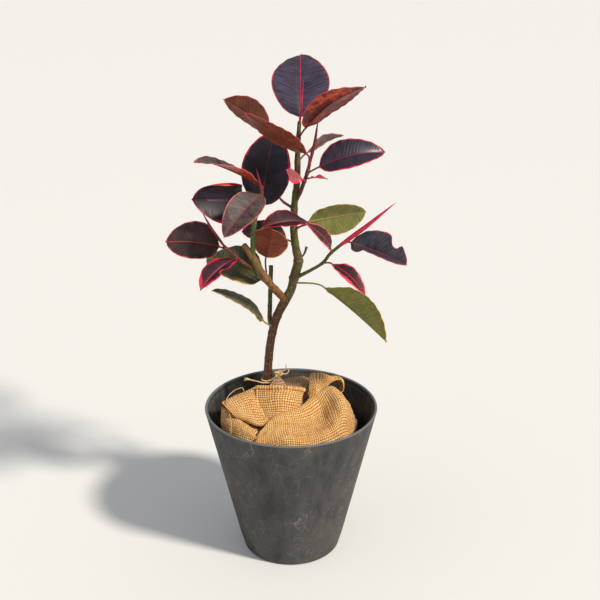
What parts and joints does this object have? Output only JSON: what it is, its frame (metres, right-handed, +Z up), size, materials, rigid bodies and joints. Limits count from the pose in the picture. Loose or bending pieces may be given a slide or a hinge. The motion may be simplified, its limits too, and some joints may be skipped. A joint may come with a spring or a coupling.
{
  "type": "potted rubber plant",
  "caption": "Branching rubber plant with dark red and olive leaves, standing in a tapered charcoal planter with its soil covered by crumpled burlap.",
  "frame": {"origin": "middle of the planter's flat base, at floor level", "axes": "+Z up along the planter's axis, -Y towards the front, +X to the right seen from the front"},
  "size_m": [0.4306, 0.3294, 0.9388],
  "materials": {
    "planter": "matte charcoal, mottled and streaked like slate",
    "nursery_pot": "thin black plastic",
    "soil": "crumbly potting soil",
    "burlap": "coarse golden jute weave",
    "twine": "twisted jute twine",
    "bark": "brown bark with pale dots, green higher up",
    "leaf_dark": "waxy dark purple leaf with a crimson margin",
    "leaf_underside": "satin maroon leaf underside with orange patches",
    "leaf_green": "waxy olive green leaf with a cream margin",
    "sheath": "smooth crimson bud sheath"
  },
  "bodies": {
    "root": {"burlap_cover": "burlap", "crown_sheath": "sheath", "dried_stub": "bark", "leaf_centre": "leaf_dark", "leaf_centre_back": "leaf_dark", "leaf_centre_round": "leaf_underside", "leaf_crown": "leaf_dark", "leaf_far_left": "leaf_dark", "leaf_front_glossy": "leaf_dark", "leaf_left_cupped": "leaf_dark", "leaf_left_curled": "leaf_dark", "leaf_left_green": "leaf_green", "leaf_left_hanging": "leaf_dark", "leaf_low_left": "leaf_green", "leaf_low_right": "leaf_green", "leaf_right_back": "leaf_dark", "leaf_right_hanging": "leaf_dark", "leaf_right_notched": "leaf_dark", "leaf_right_olive": "leaf_green", "leaf_right_small": "leaf_dark", "leaf_right_upper": "leaf_dark", "leaf_small_coral": "leaf_dark", "leaf_small_sliver": "leaf_dark", "leaf_top_left_back": "leaf_underside", "leaf_top_left_front": "leaf_underside", "leaf_top_right": "leaf_underside", "leaf_upright_dark": "leaf_dark", "left_branch": "bark", "left_low_shoot": "bark", "left_shoot_sheath": "sheath", "left_tall_shoot": "bark", "lower_right_twig": "bark", "lower_twig_sheath": "sheath", "nursery_pot": "nursery_pot", "planter": "planter", "potting_soil": "soil", "pruned_side_stem": "bark", "short_twig": "bark", "tall_shoot_sheath": "sheath", "trunk": "bark", "twine_tie": "twine", "upper_right_twig": "bark", "upper_twig_sheath": "sheath"}
  },
  "joints": []
}
